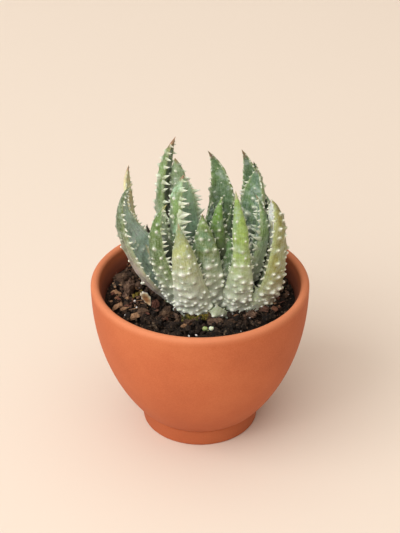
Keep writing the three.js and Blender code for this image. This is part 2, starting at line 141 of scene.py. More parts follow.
# Leaves as in the part: line, widths, faces, curl, thick and tooth shape the blade.
# bumps: how many of the tubercles stand at root and tip, from 0 to 1
# knob, stud: size of the tubercles on the outer and on the inner face
# fold: degrees by which the teeth turn in over the hollow face, beyond the curl
# apart: way between teeth
# tint: the leaf's colours. inner replaces the inner face's, cloud the clouds' on the outer face
# frost: how far up the frosted skin reaches; tip: where the tip's colour starts
# shade: how bright the inner face is near the root, painted shade in the hollow
# dim: how bright the whole leaf is near the root, painted shade deep in the rosette; lit: where it starts
# and stops to brighten
LEAVES = dict(
    leaf_front_left=dict(
        line=[(-2, -13, 64), (-4.5, -22, 80), (-7.5, -25, 100), (-9.5, -15, 113)],
        widths=(9.6, 7.9, 6.2, 4.1), faces=(80, 82), curl=42, thick=5.2, tooth=2.2, bumps=(1, 0.7),
        tint="frosted", frost=0.92, knob=1.15, dim=0.86, lit=(0.05, 0.5)),
    leaf_front_right=dict(
        line=[(14, -11, 64), (20.5, -21, 86), (18, -19.5, 108.5), (15.5, -9, 126)],
        widths=(8.4, 5.9, 3.6, 2.8), faces=(85, 85), tooth=2, bumps=(1, 0.65), tint="fresh", apart=2.4,
        frost=0.64),
    # Its near-white inner face is painted highlight, a bright reflection along that face
    leaf_right_outer=dict(
        line=[(24.6, -7, 64), (40.6, -14.3, 76.5), (35.3, -6.2, 114.6), (31.1, -3.9, 118.6)],
        widths=(7.6, 7.9, 7.7, 4.9), faces=(142, 212), curl=62, tooth=2, bumps=(1, 1), tint="mustard",
        shade=1, frost=0.36, knob=1.08, inner=(255, 252, 244), cloud=(142, 148, 96)),
    # Its dark inner face is painted shade, for the deep gap beside it
    leaf_left_small=dict(
        line=[(-9, -8, 65), (-17.1, -12.6, 82), (-25.7, -14, 107), (-14.5, -9.2, 119.2)],
        widths=(8, 7.2, 5.1, 3.2), faces=(28, 28), curl=48, thick=4.2, tooth=2.6, bumps=(1, 0.7),
        tint="olive", frost=0.5, inner=(60, 84, 50), shade=0.4, dim=0.62, lit=(0.1, 0.6), knob=0.85),
    leaf_left_outer=dict(
        line=[(-14.1, -0.3, 68), (-29.3, 0.7, 84.5), (-42.4, -4.2, 111.6), (-29.6, -2.3, 126.1)],
        widths=(5.4, 10.3, 7.1, 3.1), faces=(-17, -20), curl=66, tooth=2.4, bumps=(0.3, 0.7),
        tint="lilac", shade=1, frost=0.14, knob=0.76, inner=(216, 242, 230), cloud=(84, 118, 78)),
    leaf_stub_right=dict(
        line=[(22, -9, 64), (26, -14, 68), (28, -17, 76), (24.5, -14, 80)],
        widths=(5.5, 5, 3.8, 2.4), faces=(100, 100), curl=35, thick=3.4, tooth=1.4, bumps=(0.9, 0.9),
        tint="chalk", frost=1.5),
    leaf_stub_front=dict(
        line=[(7.6, -12, 62), (8.2, -18.5, 65), (7.8, -22, 70.6), (7.4, -20.5, 74.4)],
        widths=(5.8, 5.2, 4.2, 2.6), faces=(90, 90), curl=35, thick=2.8, tooth=1.2, bumps=(0.9, 0.9),
        tint="chalk", frost=1.5, inner=(170, 180, 150), knob=1.5),
    leaf_front_middle=dict(
        line=[(5.5, -12, 65), (3.2, -16.5, 84), (1.8, -16, 102.5), (1, -9, 114.5)],
        widths=(6, 6.8, 6.3, 4), faces=(90, 90), curl=40, thick=4.8, tooth=2.4, bumps=(1, 0.95),
        tint="sage", knob=1.2, dim=0.5, lit=(0.08, 0.5)),
    leaf_left_inner=dict(
        line=[(1, -4, 74), (-12.5, -4.8, 95), (-11, 0.5, 117.5), (-7.2, -0.2, 129)],
        widths=(6.6, 8.1, 8.6, 6.6), faces=(-29, -23), curl=70, tooth=4.8, bumps=(1, 1.3), fold=30,
        shade=0.7, inner=(180, 220, 188), apart=2.8, frost=0.4, dim=0.4, lit=(0.2, 0.45)),
    leaf_right_inner=dict(
        line=[(19, -4, 71), (27, -4, 88), (31.5, -4, 107), (24.6, 0, 119)],
        widths=(6, 6.5, 5.5, 3.6), faces=(170, -165), curl=50, tooth=3.2, bumps=(0.8, 0.8), dim=0.6),
    leaf_tall_left=dict(
        line=[(-6, 1, 70), (-22, 8.5, 91), (-18.1, 15, 128), (-10.7, 8, 143.5)],
        widths=(7, 8.1, 4.6, 3.4), faces=(8, -34), curl=56, thick=4.2, tooth=3.2, bumps=(0.9, 0.6),
        fold=28, apart=5, tip=0.86, knob=1.4, shade=0.1, inner=(92, 122, 88), dim=0.2, lit=(0.3, 0.5)),
    leaf_right_back=dict(
        line=[(18, 2, 77), (25, 10.5, 95), (25, 14.5, 113), (25.5, 9, 128)],
        widths=(6.5, 7, 6.2, 4.3), faces=(-130, -120), tooth=2.8, bumps=(0.8, 0.7), tint="sea",
        dim=0.6, shade=0.6, stud=1.35),
    leaf_inner_bright=dict(
        line=[(9.5, -5, 75), (9, -10, 92), (5, -9, 108), (10, -3, 120)],
        widths=(5, 4.8, 3.6, 2.3), faces=(80, 80), curl=40, thick=3.8, tooth=2.2, bumps=(0.9, 0.9),
        tint="moss", dim=0.2, lit=(0.4, 0.85)),
    leaf_inner_shaded=dict(
        line=[(13, -9, 68), (12.5, -12.5, 82), (13, -9, 94), (11.5, -4, 103.5)],
        widths=(6, 6, 5, 3.2), faces=(85, 85), curl=40, thick=4, tooth=2.6, bumps=(0.9, 0.9),
        tint="shaded", dim=0.5),
    leaf_tall_middle=dict(
        line=[(8, 2, 76), (10, 14, 97), (13, 18.5, 118.5), (3.5, 11, 135)],
        widths=(7, 7.4, 5.8, 3.3), faces=(-90, -97), tooth=1.6, bumps=(0.7, 0.4), tint="sea", tip=0.9,
        knob=1.25, stud=0.5, dim=0.5, inner=(94, 128, 84)),
    leaf_tall_right=dict(
        line=[(16, 4, 77), (25, 16, 96), (26.5, 20.5, 116.5), (18.5, 14, 134.2)],
        widths=(6.5, 6.5, 5, 3.1), faces=(-95, -100), tooth=1.6, bumps=(0.7, 0.3), tint="sea", tip=0.9,
        knob=1.25, stud=0.6, dim=0.5, inner=(78, 110, 72)),
    leaf_left_back=dict(
        line=[(0, 1, 74), (-12.8, 8, 94), (-8.3, 11, 122.5), (-11, 6.3, 134)],
        widths=(6, 6.5, 5.7, 4.6), faces=(1, 47), curl=46, thick=4, tooth=2.8, bumps=(1, 1.7), dim=0.4,
        frost=1.15),
    leaf_dry_left=dict(
        line=[(-10, 1, 68), (-29, 6.6, 83.6), (-36, 12.6, 112.1), (-31.6, 9.8, 128.6)],
        widths=(5, 5.6, 3.5, 3.2), faces=(26, -27), curl=40, thick=2, tooth=1.6, bumps=(0.2, 0),
        tint="dry", tip=0.91, shade=1, frost=0.1),
    leaf_back_right_tip=dict(
        line=[(19, 8, 68), (26, 19, 92), (28, 23, 114), (24, 17, 126.5)],
        widths=(6, 5.6, 4.6, 2.6), faces=(-110, -105), curl=42, thick=3.8, tooth=2, bumps=(0.9, 0.6),
        tint="sea"),
    leaf_back_right=dict(
        line=[(24, 2, 66), (33, 9, 84), (34, 17, 103), (28, 13, 114)],
        widths=(6, 6, 4.8, 2.8), faces=(-155, -150), thick=4, tooth=2.2, bumps=(0.9, 0.6)),
    leaf_back_left=dict(
        line=[(-5, 8, 67), (-14, 21, 88), (-15, 24, 109), (-12.5, 18, 121)],
        widths=(6, 6, 4.8, 3), faces=(-60, -65), curl=42, thick=4.2, tooth=2.4, bumps=(0.9, 0.6)),
    leaf_back_middle=dict(
        line=[(7, 9, 67), (11, 22, 86), (13, 26, 104), (11, 21, 115.5)],
        widths=(6.5, 6.5, 4.8, 3), faces=(-90, -90), curl=42, thick=4.2, tooth=2.4, bumps=(1, 0.6)),
    leaf_dry_stub=dict(
        line=[(-9, 4, 66), (-20, 10, 80), (-25.5, 12, 91), (-24, 10, 98)],
        widths=(4, 4, 3.2, 2), faces=(-20, -30), curl=35, thick=1.8, tooth=1.2, bumps=(0.2, 0),
        tint="dead"),
    leaf_heart_left=dict(
        line=[(5, 0, 78), (6, 2, 90), (4, 2, 104), (5.5, 3, 114)],
        widths=(4.5, 4.5, 3.8, 2.4), faces=(-75, -75), thick=3, tooth=1.8, bumps=(0.5, 0.5),
        tint="shaded", dim=0.4),
    leaf_heart_right=dict(
        line=[(12, 0, 78), (15, 3, 90), (16, 4, 103), (14.5, 4, 113)],
        widths=(4.5, 4.5, 3.8, 2.4), faces=(-100, -100), thick=3, tooth=1.8, bumps=(0.5, 0.5),
        tint="shaded", dim=0.4),
)

# Leaf colours: base, lower, upper and tip of the outer face, then the inner face
TINTS = dict(
    frosted=((216, 222, 204), (206, 214, 190), (138, 144, 72), (190, 150, 128), (116, 142, 118)),
    chalk=((196, 198, 184), (186, 190, 166), (160, 172, 120), (190, 186, 140), (140, 158, 128)),
    fresh=((184, 190, 170), (162, 178, 118), (138, 166, 70), (186, 160, 112), (116, 146, 108)),
    mustard=((224, 228, 198), (146, 148, 84), (136, 130, 54), (186, 140, 96), (222, 222, 204)),
    sage=((188, 196, 176), (156, 170, 134), (98, 120, 50), (150, 112, 84), (92, 130, 106)),
    olive=((190, 200, 180), (118, 140, 84), (84, 116, 36), (206, 186, 130), (92, 130, 106)),
    meadow=((158, 168, 148), (116, 142, 102), (90, 122, 54), (172, 112, 92), (92, 130, 106)),
    lilac=((206, 180, 180), (186, 164, 160), (48, 76, 18), (196, 176, 128), (208, 224, 206)),
    moss=((150, 168, 130), (88, 116, 56), (104, 148, 34), (150, 150, 90), (88, 124, 96)),
    sea=((150, 168, 152), (98, 130, 106), (96, 126, 66), (146, 96, 82), (92, 128, 98)),
    shaded=((70, 84, 62), (64, 86, 62), (84, 118, 62), (120, 110, 80), (50, 72, 54)),
    dry=((190, 166, 138), (222, 194, 148), (240, 212, 158), (170, 114, 92), (240, 208, 158)),
    dead=((90, 62, 46), (84, 56, 42), (66, 42, 32), (48, 28, 22), (70, 46, 34)),
)
TOOTH_CREAM = (238, 243, 222)
MARGIN_PALE = (190, 204, 146)
FROST_WHITE = (228, 232, 214)
# Wax on the inner face, partly painted highlight
WAX_AND_GLINT_GREY = (196, 212, 206)
BLOOM_GREY = (182, 200, 184)
STREAK_PALE = (206, 212, 182)
SPECKLE_PALE = (206, 216, 178)

# Clay colours
CLAY_TONES = [(0.3, (184, 90, 45)), (0.52, (194, 98, 51)), (0.72, (203, 110, 61))]
CLAY_GRAIN = (236, 152, 112)
CLAY_SPECK = (150, 66, 36)
# The next two are painted light: a highlight on the lip and shade on the foot
CLAY_LIP_HIGHLIGHT = (238, 160, 116)
CLAY_SHADED = (150, 70, 34)
# Painted shade on the inside wall of the bowl
CLAY_INNER_SHADE = (96, 44, 26)

# Other colours by their tone or pattern. Straw's run from the flake's edge to its middle.
STRAW_TONES = [(0, (250, 242, 226)), (0.5, (232, 206, 162)), (1, (164, 112, 68))]
STRAW_GRAIN = (140, 98, 58)
SPROUT_TONES = [(0, (146, 160, 84)), (1, (226, 236, 204))]
CROWN_TONES = [(0.3, (40, 46, 26)), (0.5, (84, 96, 58)), (0.7, (150, 150, 116))]
PEAT_TONES = [(0.35, (14, 10, 8)), (0.55, (38, 27, 20)), (0.75, (76, 54, 40))]
PEAT_FIBRE = (104, 76, 56)
PERLITE_TONES = [(0.35, (206, 198, 194)), (0.68, (246, 242, 238))]
SOIL_TONES = [(0, (17, 12, 9)), (0.3, (42, 30, 22)), (0.5, (70, 51, 38)), (0.64, (100, 74, 56)),
              (0.76, (122, 95, 78)), (0.86, (118, 68, 54)), (0.92, (168, 122, 88)), (1, (214, 172, 132))]
MOSS_TONES = [(0, (58, 62, 22)), (0.5, (112, 108, 36)), (1, (176, 146, 52))]


def linear(rgb):
    """An sRGB colour given in 0 to 255 as Blender's linear colour."""
    shares = [c / 255 for c in rgb]
    return (*(c / 12.92 if c <= 0.04045 else ((c + 0.055) / 1.055) ** 2.4 for c in shares), 1)


def smooth(x, low, high):
    """Rises softly from 0 at low to 1 at high."""
    share = np.clip((np.asarray(x, float) - low) / (high - low), 0, 1)
    return share * share * (3 - 2 * share)


def between(pair, share):
    return pair[0] + (pair[1] - pair[0]) * share


def turned(x, y, z):
    """A turn about the axes, in degrees, as a matrix."""
    return np.array(Euler((math.radians(x), math.radians(y), math.radians(z))).to_matrix())


def xyz(x, y, z):
    """Points or vectors from their three parts, each of them an array or a plain number."""
    return np.stack(np.broadcast_arrays(x, y, z), axis=-1)


def unit(vectors):
    return vectors / np.linalg.norm(vectors, axis=1)[:, None]


def around(count):
    """Angles evenly spaced round a full turn."""
    return np.linspace(0, 2 * math.pi, count, endpoint=False)


def add_object(name, data):
    made = bpy.data.objects.new(name, data)
    bpy.context.collection.objects.link(made)
    return made


def add_piece(name, points, faces, material, slot, *nodes, shade_smooth=True, **attributes):
    """A piece from points in millimetres, with the nodes it replaces and its point attributes."""
    mesh = bpy.data.meshes.new(name)
    mesh.from_pydata((points * MM).tolist(), [], faces)
    mesh.validate()
    for key, values in attributes.items():
        kind, field = ("FLOAT", "value") if values.ndim == 1 else ("FLOAT_VECTOR", "vector")
        mesh.attributes.new(key, kind, "POINT").data.foreach_set(field, values.astype("f").ravel())
    mesh.polygons.foreach_set("use_smooth", [shade_smooth] * len(mesh.polygons))
    mesh.materials.append(material)
    mesh.update()
    piece = add_object(name, mesh)
    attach(piece, "root")
    if nodes:
        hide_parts(*nodes)


def tube_faces(rings, across, start=0, flip=False):
    """Quads between closed rings of points, and a face over each end."""
    faces = []
    for i in range(rings - 1):
        for j in range(across):
            a = start + i * across + j
            b = start + i * across + (j + 1) % across
            faces.append((a, b, b + across, a + across))
    last = start + (rings - 1) * across
    faces.append(tuple(reversed(range(start, start + across))))
    faces.append(tuple(range(last, last + across)))
    return [face[::-1] for face in faces] if flip else faces


# Materials


class Shader:
    """A small helper that adds and joins shader nodes of one material."""

    def __init__(self, name, **values):
        self.material = bpy.data.materials.new(name)
        self.material.use_nodes = True
        self.tree = self.material.node_tree
        self.bsdf = self.fill(self.tree.nodes["Principled BSDF"], **values)

    def feed(self, socket, value):
        """Joins a socket to another one or sets it to a value; colours are sRGB in 0 to 255."""
        if isinstance(value, bpy.types.NodeSocket):
            self.tree.links.new(value, socket)
        else:
            socket.default_value = linear(value) if socket.type == "RGBA" else value

    def fill(self, node, **values):
        for key, value in values.items():
            self.feed(node.inputs[key.replace("_", " ")], value)
        return node

    def node(self, kind, **values):
        return self.fill(self.tree.nodes.new(kind), **values)

    def place(self):
        return self.node("ShaderNodeTexCoord").outputs["Object"]

    def attribute(self, name, output="Fac"):
        made = self.node("ShaderNodeAttribute")
        made.attribute_name = name
        return made.outputs[output]

    def scaled(self, vector, scale):
        return self.node("ShaderNodeMapping", Vector=vector, Scale=scale).outputs["Vector"]

    def noise(self, vector, scale, detail, roughness, distortion=0):
        made = self.node("ShaderNodeTexNoise", Vector=vector, Scale=scale, Detail=detail,
                         Roughness=roughness, Distortion=distortion)
        return made.outputs["Fac"]

    def ramp(self, factor, stops):
        made = self.node("ShaderNodeValToRGB", Fac=factor)
        elements = made.color_ramp.elements
        while len(elements) < len(stops):
            elements.new(0.5)
        for element, (place, colour) in zip(elements, stops):
            element.position = place
            element.color = linear(colour)
        return made.outputs["Color"]

    def fit(self, value, low, high, new_low, new_high):
        made = self.node("ShaderNodeMapRange", Value=value, From_Min=low, From_Max=high,
                         To_Min=new_low, To_Max=new_high)
        return made.outputs["Result"]

    def math(self, operation, a, b=0):
        made = self.tree.nodes.new("ShaderNodeMath")
        made.operation = operation
        for socket, value in zip(made.inputs, (a, b)):
            self.feed(socket, value)
        return made.outputs[0]

    def mix(self, factor, a, b, blend="MIX"):
        made = self.tree.nodes.new("ShaderNodeMix")
        made.data_type = "RGBA"
        made.blend_type = blend
        for index, value in ((0, factor), (6, a), (7, b)):
            self.feed(made.inputs[index], value)
        return made.outputs[2]

    def times(self, a, b):
        return self.math("MULTIPLY", a, b)

    def over(self, below, colour, value, low, high, most, within=1):
        """Lays colour over what is below: not at all where value is low, most where it's high."""
        return self.mix(self.times(self.fit(value, low, high, 0, most), within), below, colour)

    def finish(self, colour, *bumps, **values):
        """Sets colour and values, and joins bumps: height, strength, metres; the deepest first."""
        above = self.bsdf.inputs["Normal"]
        for height, strength, distance in reversed(bumps):
            made = self.node("ShaderNodeBump", Height=height, Strength=strength, Distance=distance)
            self.feed(above, made.outputs["Normal"])
            above = made.inputs["Normal"]
        self.fill(self.bsdf, Base_Color=colour, **values)
        return self.material


def terracotta_material():
    s = Shader("terracotta")
    at = s.place()
    clouds = s.noise(at, 26, 5, 0.6)
    grain = s.noise(at, 1500, 3, 0.7)
    grooves = s.noise(s.scaled(at, (12, 12, 420)), 1, 3, 0.6)
    specks = s.node("ShaderNodeTexVoronoi", Vector=at, Scale=900).outputs["Distance"]
    body = s.ramp(clouds, CLAY_TONES)
    body = s.over(body, CLAY_GRAIN, grain, 0.3, 0.75, 0.24)
    body = s.over(body, CLAY_SPECK, specks, 0.16, 0, 0.22)
    # Painted light: the lip is painted pale as a highlight, and the foot a little darker as painted shade
    height = s.node("ShaderNodeSeparateXYZ", Vector=at).outputs[2]
    body = s.over(body, CLAY_LIP_HIGHLIGHT, height, 0.0715, 0.0745, 0.34)
    body = s.over(body, CLAY_SHADED, height, 0.045, 0.004, 0.34)
    # Inside, the clay is painted darker from the lip down to the soil: painted shade
    damp = s.times(s.attribute("damp"), s.fit(clouds, 0.3, 0.7, 0.75, 0.95))
    body = s.mix(damp, body, CLAY_INNER_SHADE)
    return s.finish(body, (grooves, 0.12, 0.0004), (clouds, 0.1, 0.0006), (grain, 0.16, 0.00012),
                    Roughness=s.fit(grain, 0.2, 0.8, 0.7, 0.88))


def lighter(rgb, share):
    return tuple(min(255, share * c) for c in rgb)


def leaf_material(name, leaf):
    base, lower, upper, tip, inner = TINTS[leaf["tint"]]
    inner = leaf.get("inner", inner)
    cloud = leaf.get("cloud", inner)
    shade = leaf["shade"]
    s = Shader(name, Subsurface_Weight=0.12, Subsurface_Scale=0.002, Subsurface_Radius=(0.6, 1, 0.3),
               Sheen_Weight=0.12, Sheen_Roughness=0.5, Specular_IOR_Level=0.42)
    blade = s.attribute("blade", "Vector")
    across, along, inside = s.node("ShaderNodeSeparateXYZ", Vector=blade).outputs
    tooth = s.attribute("tooth")
    at = s.place()
    # Colour runs along the leaf, broken by cloudy patches
    patches = s.noise(at, 170, 4, 0.6)
    run = s.math("ADD", along, s.fit(patches, 0.25, 0.75, -0.1, 0.1))
    outer_colour = s.ramp(run, [(0.04, base), (0.3, lower), (0.62, upper)])
    # Painted shade: the inner face darkens towards the root, down to shade
    inner_tones = [(0.12, lighter(inner, shade)), (0.42, lighter(inner, 0.5 + shade / 2))]
    inner_colour = s.ramp(run, inner_tones + [(0.65, inner), (0.9, lighter(inner, 1.1))])
    skin = s.mix(inside, outer_colour, inner_colour)
    # The upper leaf is mottled with yellow-green and blue-green clouds
    clouds = s.noise(at, 115, 6, 0.62, 0.5)
    reach = s.fit(along, 0.15, 0.5, 0.3, 1)
    cool = s.mix(inside, lighter(cloud, 1.16), lighter(inner, 1.16))
    skin = s.over(skin, lighter(upper, 1.32), clouds, 0.5, 0.66, 0.75, reach)
    skin = s.over(skin, cool, clouds, 0.48, 0.33, 0.75, reach)
    # Fine streaks run up the leaf, and a waxy bloom lies on it in patches
    streaks = s.noise(s.scaled(blade, (22, 2.6, 5)), 1, 4, 0.65)
    skin = s.over(skin, STREAK_PALE, streaks, 0.48, 0.72, 0.42)
    skin = s.over(skin, lighter(upper, 0.62), streaks, 0.5, 0.28, 0.6)
    bloom = s.noise(at, 330, 6, 0.7)
    lit = s.fit(along, 0.1, 0.5, shade, 1)
    lit = s.math("MAXIMUM", lit, s.math("SUBTRACT", 1, inside))
    skin = s.over(skin, BLOOM_GREY, bloom, 0.5, 0.66, 0.5, lit)
    skin = s.over(skin, lighter(upper, 0.6), bloom, 0.47, 0.32, 0.55)
    # Pale waxy patches on the lit inner face, partly wax and partly painted highlight
    wax_and_glints = s.noise(at, 190, 4, 0.6, 0.8)
    skin = s.over(skin, WAX_AND_GLINT_GREY, wax_and_glints, 0.53, 0.62, 0.5, s.times(inside, lit))
    speckle = s.noise(at, 1100, 3, 0.7)
    skin = s.over(skin, SPECKLE_PALE, speckle, 0.52, 0.7, 0.35, lit)
    # The lower leaf is frosted, the more so on its outer face
    frost = s.fit(run, leaf["frost"], 0.05, 0, 0.8)
    frost = s.times(frost, s.fit(inside, 0, 1, 1, 0.1 * shade))
    frost = s.times(frost, s.fit(speckle, 0.35, 0.6, 0.45, 1))
    skin = s.mix(frost, skin, FROST_WHITE)
    # The very tip dries to brown
    end = s.math("ADD", along, s.fit(bloom, 0.3, 0.7, -0.03, 0.03))
    skin = s.over(skin, tip, end, leaf["tip"], leaf["tip"] + 0.07, 0.85)
    # Painted shade: the whole leaf darkens towards its root, down to dim, between the two places in lit
    skin = s.mix(1, skin, s.fit(along, *leaf["lit"], leaf["dim"], 1), "MULTIPLY")
    # Margins are paler, and teeth and tubercles pass from the skin's colour to cream
    rim = s.math("POWER", s.math("ABSOLUTE", across), 9)
    skin = s.mix(s.times(rim, 0.4), skin, MARGIN_PALE)
    skin = s.over(skin, TOOTH_CREAM, tooth, 0.06, 0.66, 1)
    return s.finish(skin, (streaks, 0.5, 0.0006), (bloom, 0.8, 0.0007), (speckle, 0.3, 0.0002),
                    Roughness=s.fit(bloom, 0.3, 0.7, 0.29, 0.48))


def crown_material():
    s = Shader("crown_skin", Roughness=0.7)
    patches = s.noise(s.place(), 240, 5, 0.65)
    return s.finish(s.ramp(patches, CROWN_TONES), (patches, 0.5, 0.0008))


def soil_material():
    s = Shader("peat", Roughness=0.95, Specular_IOR_Level=0.25)
    at = s.place()
    crumbs = s.noise(at, 620, 6, 0.7)
    fibres = s.noise(s.scaled(at, (900, 240, 600)), 1, 4, 0.6)
    body = s.over(s.ramp(crumbs, PEAT_TONES), PEAT_FIBRE, fibres, 0.62, 0.8, 0.5)
    return s.finish(body, (crumbs, 0.8, 0.0012), (fibres, 0.4, 0.0004))


def chip_material(name, stops, grain_scale):
    """Bits whose own random tone picks their colour, with grain on top."""
    s = Shader(name, Roughness=0.85, Specular_IOR_Level=0.3)
    at = s.place()
    grain = s.noise(s.scaled(at, (1, 0.35, 1)), grain_scale, 5, 0.65)
    picked = s.ramp(s.attribute("tone"), stops)
    picked = s.over(picked, (20, 14, 11), grain, 0.6, 0.3, 0.62)
    picked = s.over(picked, (188, 158, 126), grain, 0.56, 0.76, 0.5)
    crumbs = s.noise(at, 1700, 4, 0.75)
    picked = s.over(picked, (18, 12, 9), crumbs, 0.5, 0.34, 0.6)
    picked = s.over(picked, (146, 114, 86), crumbs, 0.56, 0.72, 0.4)
    return s.finish(picked, (grain, 0.7, 0.0005), (crumbs, 0.9, 0.0006))


def perlite_material():
    s = Shader("perlite", Roughness=0.85)
    patches = s.noise(s.place(), 1500, 5, 0.6)
    return s.finish(s.ramp(patches, PERLITE_TONES), (patches, 0.4, 0.0003))


# Bowl


def bowl_radius(z):
    down = 1 - z / BOWL_HEIGHT
    return RIM_RADIUS - SWELL * down**SWELL_POWER - TUCK * down**TUCK_POWER


def inner_radius(z):
    below = float(smooth(BOWL_HEIGHT - LIP_RADIUS - z, 0, 8))
    return bowl_radius(z) - 2 * LIP_RADIUS - (WALL - 2 * LIP_RADIUS) * below


def arc(radius, height, size, start, end, steps):
    """Points of a round corner in the bowl's profile; angles in degrees."""
    angles = np.radians(np.linspace(start, end, steps))
    return [(radius + size * math.cos(a), height + size * math.sin(a)) for a in angles]


def bowl_profile():
    lip = BOWL_HEIGHT - LIP_RADIUS
    profile = [(0.01, FOOT_RECESS), (FOOT_RING_INNER - 2.4, FOOT_RECESS)]
    profile += arc(FOOT_RING_INNER - 0.6, FOOT_CORNER, FOOT_CORNER, 160, 270, 7)
    profile += arc(FOOT_RADIUS - 1.3, FOOT_CORNER, FOOT_CORNER, 270, 358, 8)
    # The foot widens by a hair and meets the bowl in a shallow groove
    profile += [(FOOT_RADIUS - 0.2, 3), (FOOT_RADIUS - 0.05, 5.5), (FOOT_RADIUS, FOOT_HEIGHT - 1.1)]
    profile += [(FOOT_RADIUS - 0.12, FOOT_HEIGHT - 0.5), (FOOT_RADIUS - JOINT_GROOVE, FOOT_HEIGHT - 0.1)]
    profile.append((FOOT_RADIUS - JOINT_GROOVE + 0.1, FOOT_HEIGHT + 0.12))
    profile.append((FOOT_RADIUS + 0.5, FOOT_HEIGHT + 0.35))
    # The side, the round lip, and the inside down to the floor
    profile += [(bowl_radius(z), z) for z in np.linspace(FOOT_HEIGHT + 1, lip - 0.6, 54)]
    profile += arc(bowl_radius(lip) - LIP_RADIUS, lip, LIP_RADIUS, 0, 180, 17)
    profile += [(inner_radius(z), z) for z in np.linspace(lip - 0.7, 60, 24)]
    profile += [(inner_radius(z), z) for z in np.linspace(58, 22, 12)]
    profile += arc(inner_radius(22) - 7, 22, 7, 0, -80, 8)
    profile += [(8, FLOOR_TOP + 0.6), (0.01, FLOOR_TOP)]
    return profile


def make_bowl():
    profile = np.array(bowl_profile())
    turns = around(BOWL_SIDES)
    radius = profile[:, :1]
    wobble = np.where(radius < 0.02, 1, 1 + WOBBLE * np.sin(3 * turns + 0.7))
    points = xyz(radius * np.cos(turns) * wobble, radius * np.sin(turns) * wobble, profile[:, 1:])
    points = points.reshape(-1, 3)
    height, away = points[:, 2], np.hypot(points[:, 0], points[:, 1])
    middle = RIM_RADIUS - LIP_RADIUS - SWELL * np.clip(1 - height / BOWL_HEIGHT, 0, 1) ** SWELL_POWER
    # Painted shade on the inside wall: full below the soil's level, gone at the lip
    damp = (away < middle) * (1 - smooth(height, SOIL_TOP, BOWL_HEIGHT - 1)) * (height > FLOOR_TOP - 1)
    faces = tube_faces(len(profile), BOWL_SIDES)
    add_piece("bowl_clay", points, faces, terracotta_material(), "terracotta", "pot", damp=damp)


# Leaves


def curve_at(line, t):
    """Points and directions of a Bezier curve."""
    a, b, c, d = np.array(line, float)
    t = t[:, None]
    point = (1 - t) ** 3 * a + 3 * (1 - t) ** 2 * t * b + 3 * (1 - t) * t * t * c + t**3 * d
    slope = (1 - t) ** 2 * (b - a) + 2 * (1 - t) * t * (c - b) + t * t * (d - c)
    return point, unit(slope)


def half_width(widths, t):
    """Half the blade's width at t, through the four widths and down to none at the tip."""
    stops = np.array([2 * widths[0] - widths[1], *widths, 0, -0.9 * widths[3]])
    place = np.clip(t, 0, 1) * 4
    i = np.minimum(place.astype(int), 3)
    f = place - i
    before, start, end, after = stops[i], stops[i + 1], stops[i + 2], stops[i + 3]
    slope_in = (end - before) / 2
    slope_out = (after - start) / 2
    rise = end - start
    square = 3 * rise - 2 * slope_in - slope_out
    cube = slope_in + slope_out - 2 * rise
    return start + f * (slope_in + f * (square + f * cube))


def skin_at(leaf, t, place, side):
    """Points of the blade's skin for arrays of t and place, with the way out, along and across."""
    point, along = curve_at(leaf["line"], t)
    root_way, tip_way = leaf["faces"]
    turn = (tip_way - root_way + 180) % 360 - 180
    angle = np.radians(root_way + turn * t)
    inward = xyz(np.cos(angle), np.sin(angle), 0)
    inward -= along * np.sum(along * inward, axis=1)[:, None]
    inward = unit(inward)
    across = np.cross(along, inward)
    width = np.maximum(half_width(leaf["widths"], t), 0.02)
    thick = np.minimum(leaf["thick"], 0.9 * width + 0.15)
    curl = math.radians(leaf["curl"])
    radius = width / math.sin(curl)
    bend = curl * place
    share = OUTER_SHARE if side < 0 else 1 - OUTER_SHARE
    out = side * (np.cos(bend)[:, None] * inward - np.sin(bend)[:, None] * across)
    skin = point + (radius * np.sin(bend))[:, None] * across
    skin += (radius * (1 - np.cos(bend)))[:, None] * inward
    skin += (share * thick * np.sqrt(np.maximum(1 - place * place, 0)))[:, None] * out
    return skin, out, along, across, inward, width


def blade_mesh(leaf, length, knobs):
    """The blade as a closed fine mesh, its skin raised round every tubercle."""
    rings = int(length / SKIN_STEP)
    t = np.linspace(0, 1, rings) ** 0.93
    t[-1] = 0.999
    widest = max(leaf["widths"])
    outer = -np.cos(np.linspace(0, math.pi, int(2.4 * widest / SKIN_STEP)))
    inner = np.cos(np.linspace(0, math.pi, int(1.7 * widest / SKIN_STEP)))[1:-1]
    phase = rng.uniform(0, 6, 4)
    layers = []
    for row, side in ((outer, -1), (inner, 1)):
        tt, pp = np.meshgrid(t, row, indexing="ij")
        tt, pp = tt.ravel(), pp.ravel()
        skin, out, _, across, _, width = skin_at(leaf, tt, pp, side)
        wave = MARGIN_WAVES[0] * np.sin(0.55 * length * tt + phase[0])
        wave += MARGIN_WAVES[1] * np.sin(1.3 * length * tt + phase[1])
        skin += across * (wave * pp * smooth(width, 0.5, 3))[:, None]
        ripple = SKIN_RIPPLE * np.sin(tt * 41 + 3 * pp + phase[2]) * np.sin(pp * 8 + phase[3])
        raised, cream = raise_skin(skin, side, knobs)
        edge = np.sqrt(np.clip(1 - pp**2, 0, 1))
        taper = smooth(width, 0.3, 2)
        skin += out * ((ripple + raised) * edge * taper)[:, None]
        mark = xyz(pp, tt, side > 0)
        layers.append((skin.reshape(rings, -1, 3), mark.reshape(rings, -1, 3), cream.reshape(rings, -1)))
    points, marks, cream = (np.concatenate(parts, axis=1) for parts in zip(*layers))
    faces = tube_faces(rings, points.shape[1], flip=True)
    return points.reshape(-1, 3), faces, marks.reshape(-1, 3), cream.ravel()


